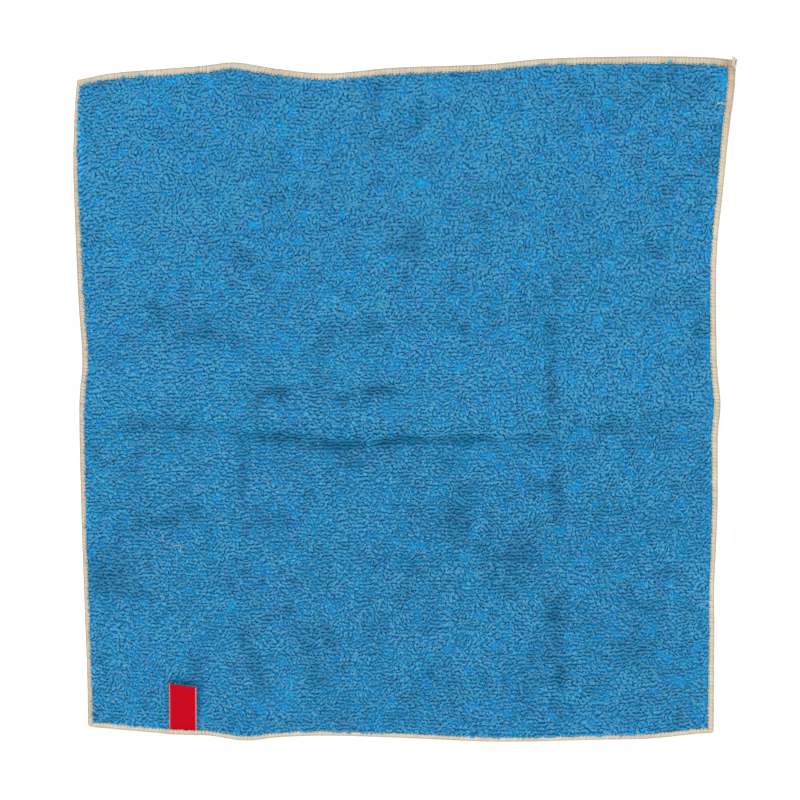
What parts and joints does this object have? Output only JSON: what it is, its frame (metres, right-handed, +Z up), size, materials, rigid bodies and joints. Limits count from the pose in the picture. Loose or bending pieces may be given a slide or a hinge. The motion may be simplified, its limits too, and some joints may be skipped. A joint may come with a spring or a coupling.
{
  "type": "hand towel",
  "caption": "Square terry hand towel lying flat with soft fold creases, an overlocked thread edging on every side and a small folded tape label at one edge.",
  "frame": {"origin": "on the surface the towel rests on, under the middle of its outline", "axes": "+Z up from the surface, +Y towards the towel's upper edge, +X to the right; the label is at the lower left"},
  "size_m": [0.3515, 0.364, 0.0062],
  "materials": {
    "terry": "looped cotton pile, mid blue",
    "edging_thread": "beige overlock thread, slight lustre",
    "label_tape": "woven red tape, plain"
  },
  "bodies": {
    "root": {"terry_cloth": "terry", "edging_top": "edging_thread", "edging_right": "edging_thread", "edging_bottom": "edging_thread", "edging_left": "edging_thread", "label_tape": "label_tape"}
  },
  "joints": []
}
